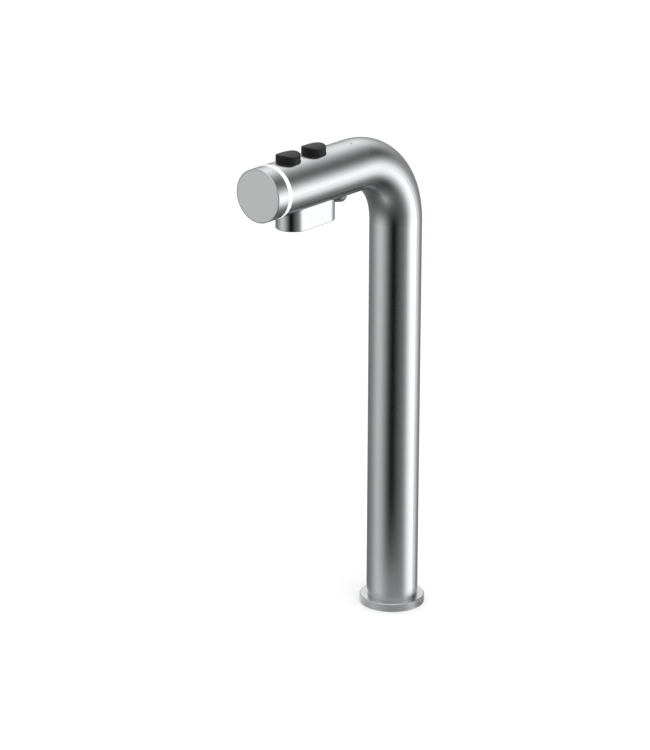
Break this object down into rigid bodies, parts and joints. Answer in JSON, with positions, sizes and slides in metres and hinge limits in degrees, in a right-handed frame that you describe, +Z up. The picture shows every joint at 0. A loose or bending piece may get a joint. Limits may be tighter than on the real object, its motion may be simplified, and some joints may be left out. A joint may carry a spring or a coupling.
{
  "type": "sparkling water tap",
  "caption": "Tall round tube tap with a bent neck, a lit ring at the end of its level arm, press buttons on top and a polished outlet housing underneath.",
  "frame": {"origin": "centre of the base flange's underside, on the axis of the column, level with the top of the worktop", "axes": "+Z up along the column, -Y along the arm towards the outlets, +X to the right as seen from the front"},
  "size_m": [0.0506, 0.1863, 0.4739],
  "materials": {
    "tube_steel": "satin stainless steel, brushed along the tube",
    "flange_steel": "satin stainless steel, turned",
    "band_steel": "satin stainless steel, brushed round the band",
    "matt_disc": "fine bead-blasted, matt",
    "lit_ring": "white diffusing plastic that glows when lit",
    "clear_carrier": "clear moulded",
    "polished_nozzle": "polished",
    "black_button": "satin black",
    "brass": "machined",
    "rubber": "matt",
    "screw_steel": "plain stainless steel",
    "moulded_white": "moulded white",
    "moulded_grey": "moulded grey",
    "moulded_black": "moulded black",
    "moulded_switch": "moulded red-brown",
    "pin_metal": "plated",
    "water_tube": "translucent white",
    "cable_jacket": "matt black",
    "circuit_board": "green solder mask",
    "lamp": "clear lens over phosphor",
    "outlet_insert": "moulded dark grey"
  },
  "bodies": {
    "root": {"tube_body": "tube_steel", "base_flange": "flange_steel", "cap_sleeve": "band_steel", "face_disc": "matt_disc", "light_ring": "lit_ring", "ring_carrier": "clear_carrier", "nozzle_housing": "polished_nozzle", "base_adapter": "brass", "threaded_shank": "brass", "lock_nut": "brass", "base_seal": "rubber", "rubber_washer": "rubber", "tube_seals": "rubber", "outlet_seals": "rubber", "flange_grub_screw": "screw_steel", "steel_washer": "screw_steel", "nozzle_screw": "screw_steel", "clamp_screw": "screw_steel", "saddle_washer": "screw_steel", "carrier_screws": "screw_steel", "board_screws": "screw_steel", "front_button_spring": "screw_steel", "rear_button_spring": "screw_steel", "inlet_block": "moulded_white", "outlet_block": "moulded_white", "inlet_collets": "moulded_grey", "outlet_collets": "moulded_grey", "hose_spacers": "moulded_grey", "button_frame": "moulded_grey", "nozzle_plate": "moulded_grey", "supply_socket": "moulded_black", "board_plug": "moulded_black", "front_switch_body": "moulded_black", "rear_switch_body": "moulded_black", "supply_pins": "pin_metal", "still_water_tube": "water_tube", "sparkling_water_tube": "water_tube", "control_cable": "cable_jacket", "board_lead": "cable_jacket", "light_board": "circuit_board", "switch_board": "circuit_board", "ring_lamps": "lamp", "front_outlet": "outlet_insert", "rear_outlet": "outlet_insert"},
    "front_button": {"front_button": "black_button", "front_switch_plunger": "moulded_switch"},
    "rear_button": {"rear_button": "black_button", "rear_switch_plunger": "moulded_switch"}
  },
  "joints": [
    {"name": "front_button_press", "type": "slide", "parent": "root", "child": "front_button", "axis": [0, 0, -1], "range_m": [0, 0.0015], "stiffness_N_per_m": 400, "springref_m": -0.003, "deforming": ["front_button_spring"]},
    {"name": "rear_button_press", "type": "slide", "parent": "root", "child": "rear_button", "axis": [0, 0, -1], "range_m": [0, 0.0015], "stiffness_N_per_m": 400, "springref_m": -0.003, "deforming": ["rear_button_spring"]}
  ]
}
